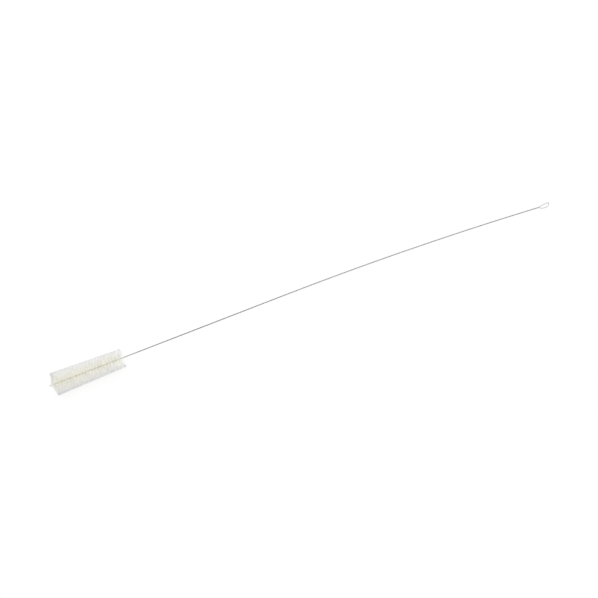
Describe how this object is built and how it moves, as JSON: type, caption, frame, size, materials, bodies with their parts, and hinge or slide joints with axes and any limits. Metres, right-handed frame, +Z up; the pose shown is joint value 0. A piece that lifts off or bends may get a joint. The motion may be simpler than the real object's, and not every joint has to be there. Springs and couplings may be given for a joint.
{
  "type": "test tube brush",
  "caption": "Long twisted wire brush with a tapered head of pale bristles at one end and a flat hanging eye at the other.",
  "frame": {"origin": "middle of the brush's length and of its bristled head's width, on the surface that it lies on", "axes": "+X along the brush from the bristled tip to the eye, +Z up from the surface it lies on, +Y across it"},
  "size_m": [0.8985, 0.0413, 0.0408],
  "materials": {
    "steel_wire": "drawn bright steel wire, satin",
    "bristle": "pale cream-white filament, slightly translucent"
  },
  "bodies": {
    "root": {"wire": "steel_wire", "bristles": "bristle"}
  },
  "joints": []
}
